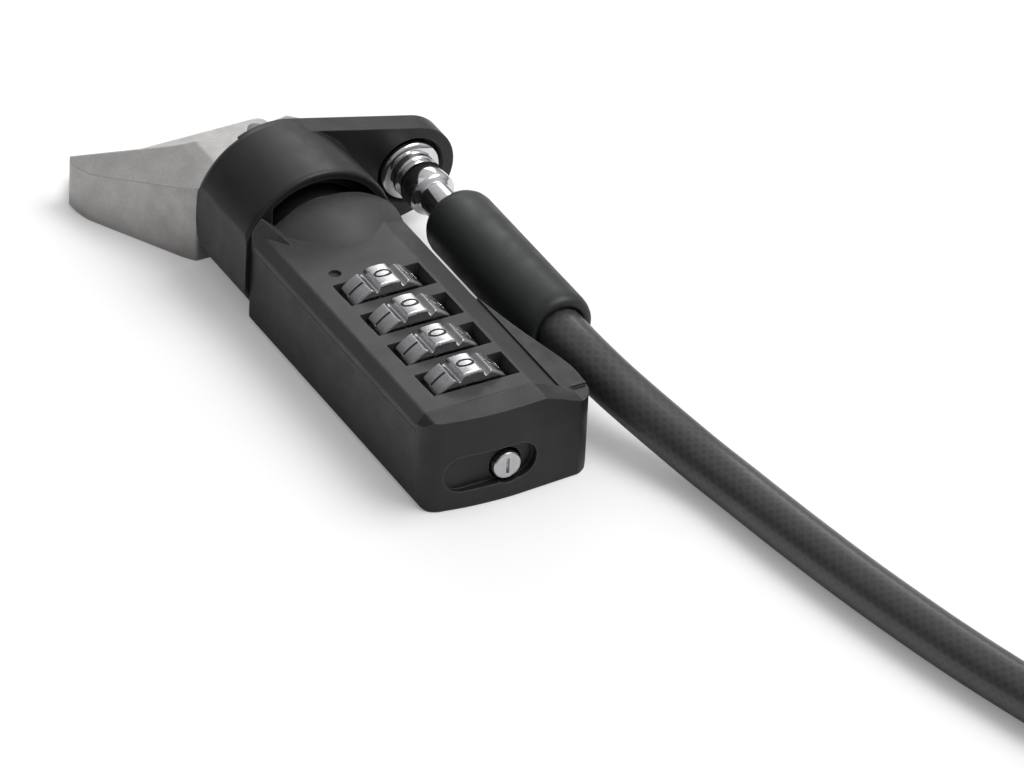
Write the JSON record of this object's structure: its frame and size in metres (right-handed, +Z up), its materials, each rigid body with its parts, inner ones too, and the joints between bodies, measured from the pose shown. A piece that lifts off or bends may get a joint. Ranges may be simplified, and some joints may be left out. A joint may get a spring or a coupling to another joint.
{
  "type": "laptop cable lock",
  "caption": "Small combination barrel lock with number dials, a swivelling collar and arm, a turning T-bar held in a wedge-shaped slot adapter, and a coated steel cable with an anchor loop.",
  "frame": {"origin": "in the case's flat underside, 29 mm behind the barrel's slot end, straight below the barrel axis", "axes": "+X along the barrel from the slot end to the button end, +Y towards the cable side, +Z up from the resting plane"},
  "size_m": [0.182, 0.1622, 0.015],
  "materials": {
    "case_black": "satin black",
    "cover_black": "satin black",
    "collar_black": "satin black",
    "nickel": "nickel-plated",
    "dial_metal": "bright nickel with dark numbers",
    "brass": "turned",
    "spring_steel": "drawn",
    "screw_black": "black oxide",
    "chrome": "polished",
    "ferrule_black": "moulded",
    "jacket": "smooth PVC",
    "crimp_metal": "pressed",
    "adapter_metal": "satin"
  },
  "bodies": {
    "cable_assembly": {"cable": "jacket", "crimp_sleeve": "crimp_metal", "cable_ferrule": "ferrule_black", "cable_fitting": "chrome"},
    "collar": {"swivel_collar": "collar_black"},
    "case": {"lower_case": "case_black", "top_cover": "cover_black", "cover_screw_1": "screw_black", "cover_screw_2": "screw_black", "head_plug": "nickel", "guide_peg_1": "nickel", "guide_peg_2": "nickel", "plug_screw_1": "nickel", "plug_screw_2": "nickel", "detent_spring": "spring_steel", "return_spring": "spring_steel", "slot_adapter": "adapter_metal", "adapter_screw_1": "spring_steel", "adapter_screw_2": "spring_steel"},
    "t_bar": {"t_bar": "nickel"},
    "button": {"push_button": "nickel", "button_carrier": "nickel", "spindle": "nickel", "cam_pin": "nickel"},
    "dial_1": {"dial_1": "dial_metal", "clutch_sleeve_1": "brass"},
    "dial_2": {"dial_2": "dial_metal", "clutch_sleeve_2": "brass"},
    "dial_3": {"dial_3": "dial_metal", "clutch_sleeve_3": "brass"},
    "dial_4": {"dial_4": "dial_metal", "clutch_sleeve_4": "brass"}
  },
  "joints": [
    {"name": "eye_pivot", "type": "hinge", "parent": "cable_assembly", "child": "collar", "pos_m": [-0.0275, 0.0144, 0.0066], "axis": [1, 0, 0], "range_deg": [-120, 30]},
    {"name": "collar_swivel", "type": "hinge", "parent": "collar", "child": "case", "pos_m": [-0.024, 0, 0.0066], "axis": [1, 0, 0], "continuous": true},
    {"name": "button_push", "type": "slide", "parent": "case", "child": "button", "axis": [1, 0, 0], "range_m": [-0.002, 0], "stiffness_N_per_m": 150, "springref_m": 0.001, "deforming": ["return_spring"]},
    {"name": "t_bar_turn", "type": "hinge", "parent": "case", "child": "t_bar", "pos_m": [-0.029, 0, 0.0066], "axis": [1, 0, 0], "range_deg": [0, 90]},
    {"name": "dial_1_turn", "type": "hinge", "parent": "case", "child": "dial_1", "pos_m": [-0.0051, 0, 0.0066], "axis": [1, 0, 0], "continuous": true},
    {"name": "dial_2_turn", "type": "hinge", "parent": "case", "child": "dial_2", "pos_m": [0.0004, 0, 0.0066], "axis": [1, 0, 0], "continuous": true},
    {"name": "dial_3_turn", "type": "hinge", "parent": "case", "child": "dial_3", "pos_m": [0.0059, 0, 0.0066], "axis": [1, 0, 0], "continuous": true},
    {"name": "dial_4_turn", "type": "hinge", "parent": "case", "child": "dial_4", "pos_m": [0.0114, 0, 0.0066], "axis": [1, 0, 0], "continuous": true}
  ],
  "couplings": [
    {"joint": "t_bar_turn", "follows": "button_push", "rad_per_m": -785.39}
  ]
}
